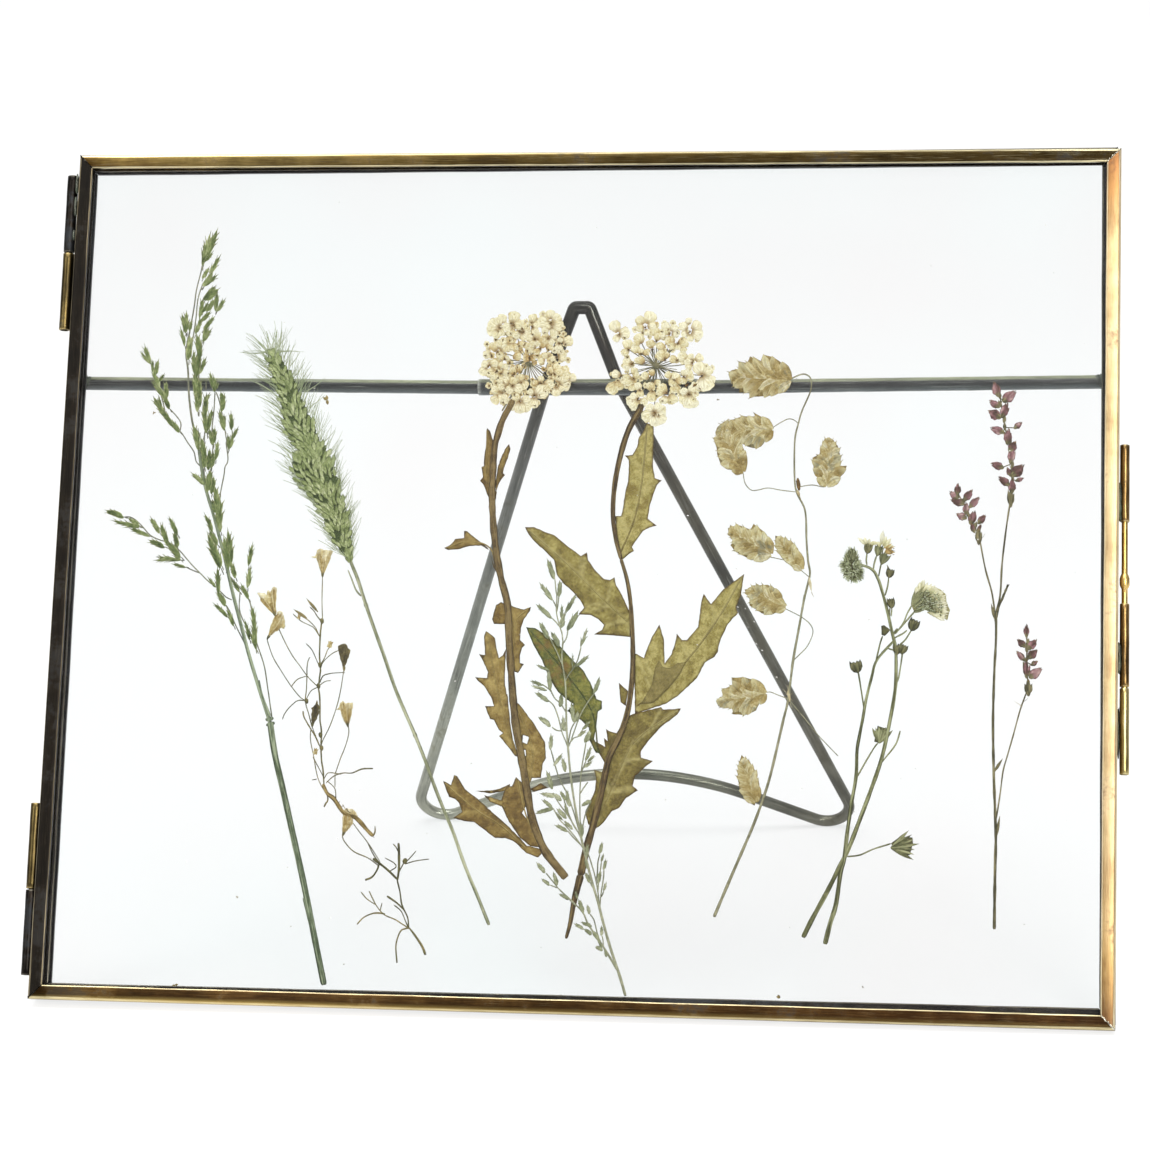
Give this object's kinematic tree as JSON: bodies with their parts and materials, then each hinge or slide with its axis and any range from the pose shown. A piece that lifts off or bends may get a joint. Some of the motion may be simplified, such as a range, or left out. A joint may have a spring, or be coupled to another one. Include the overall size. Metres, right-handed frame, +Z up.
{
  "type": "pressed flower frame",
  "caption": "Antique brass frame with two hinged glass leaves on a folding wire stand, dried grasses, umbels and leaves pressed between its panes.",
  "frame": {"origin": "centre of the bounding box on the floor", "axes": "+X to the right as the viewer faces the front pane, +Z up, front pane faces -Y and leans back"},
  "size_m": [0.268, 0.1622, 0.199],
  "materials": {
    "antique_brass": "antique brass, worn bright on the edges",
    "dark_brass": "dark brown patina on brass",
    "bright_brass": "rubbed bright brass",
    "patinated_wire": "grey-olive patina on brass wire",
    "glass": "clear thin glass",
    "brome_straw": "matt dried grass, green",
    "foxtail_straw": "matt dried bristles, pale green",
    "bell_petals": "dried petals, tan",
    "bell_stems": "dried stems, grey-brown",
    "umbel_petals": "dried petals, cream",
    "umbel_stems": "dried stems, brown",
    "left_leaves": "dried leaves, light brown",
    "right_leaves": "dried leaves, olive brown",
    "shaded_leaf": "dried leaf, dark green",
    "meadow_straw": "matt dried grass, grey-green",
    "quaking_scales": "papery dried scales, straw",
    "quaking_stems": "dried stems, straw brown",
    "knapweed_stems": "dried stems and buds, dark olive",
    "knotweed_buds": "dried buds, dusty pink",
    "knotweed_stems": "dried stems, green-brown"
  },
  "bodies": {
    "back_leaf": {"back_glass": "glass", "back_rail_bottom": "dark_brass", "back_rail_left": "dark_brass", "back_rail_right": "dark_brass", "back_rail_top": "dark_brass", "bell_sprig_foot": "bell_stems", "bell_sprig_root": "bell_stems", "bell_sprig_top": "bell_petals", "brome_lower_panicle": "brome_straw", "brome_stem": "brome_straw", "brome_upper_panicle": "brome_straw", "clasp_tube_lower": "bright_brass", "foxtail_head": "foxtail_straw", "foxtail_stem": "foxtail_straw", "hinge_lower_back": "bright_brass", "hinge_pin_lower": "dark_brass", "hinge_pin_upper": "dark_brass", "hinge_upper_back": "bright_brass", "knapweed_fan": "knapweed_stems", "knapweed_head": "knapweed_stems", "knapweed_stems": "knapweed_stems", "knotweed_short_spike": "knotweed_buds", "knotweed_stem": "knotweed_stems", "knotweed_tall_spike": "knotweed_buds", "left_umbel_head": "umbel_petals", "left_umbel_leaf_left_high": "left_leaves", "left_umbel_leaf_left_middle": "left_leaves", "left_umbel_leaf_low": "left_leaves", "left_umbel_leaf_right_high": "left_leaves", "left_umbel_leaf_right_middle": "left_leaves", "left_umbel_stem": "umbel_stems", "meadow_grass": "meadow_straw", "quaking_grass_head_high": "quaking_scales", "quaking_grass_head_low": "quaking_scales", "quaking_grass_head_lower": "quaking_scales", "quaking_grass_head_lowest": "quaking_scales", "quaking_grass_head_middle": "quaking_scales", "quaking_grass_head_pair": "quaking_scales", "quaking_grass_head_right": "quaking_scales", "quaking_grass_stem": "quaking_stems", "right_umbel_head": "umbel_petals", "right_umbel_leaf_high": "right_leaves", "right_umbel_leaf_left": "right_leaves", "right_umbel_leaf_low": "right_leaves", "right_umbel_leaf_right": "right_leaves", "right_umbel_leaf_shaded": "shaded_leaf", "right_umbel_stem": "umbel_stems", "stand_crossbar": "patinated_wire"},
    "front_leaf": {"front_glass": "glass", "front_rail_bottom": "antique_brass", "front_rail_left": "antique_brass", "front_rail_right": "antique_brass", "front_rail_top": "antique_brass", "hinge_upper_front": "dark_brass", "hinge_lower_front": "dark_brass", "clasp_tube_upper": "antique_brass", "clasp_tube_middle": "antique_brass"},
    "clasp_pin": {"clasp_pin": "bright_brass"},
    "stand": {"stand_sleeve": "patinated_wire", "stand_wire": "patinated_wire"}
  },
  "joints": [
    {"name": "leaf_hinge", "type": "hinge", "parent": "back_leaf", "child": "front_leaf", "pos_m": [-0.13265, -0.03531, 0.09972], "axis": [0, -0.392, -0.92], "range_deg": [0, 150]},
    {"name": "clasp_slide", "type": "slide", "parent": "front_leaf", "child": "clasp_pin", "axis": [0, 0.392, 0.92], "range_m": [0, 0.0124]},
    {"name": "stand_hinge", "type": "hinge", "parent": "back_leaf", "child": "stand", "pos_m": [0.00005, -0.01144, 0.14145], "axis": [-1, 0, 0], "range_deg": [0, 50]}
  ]
}
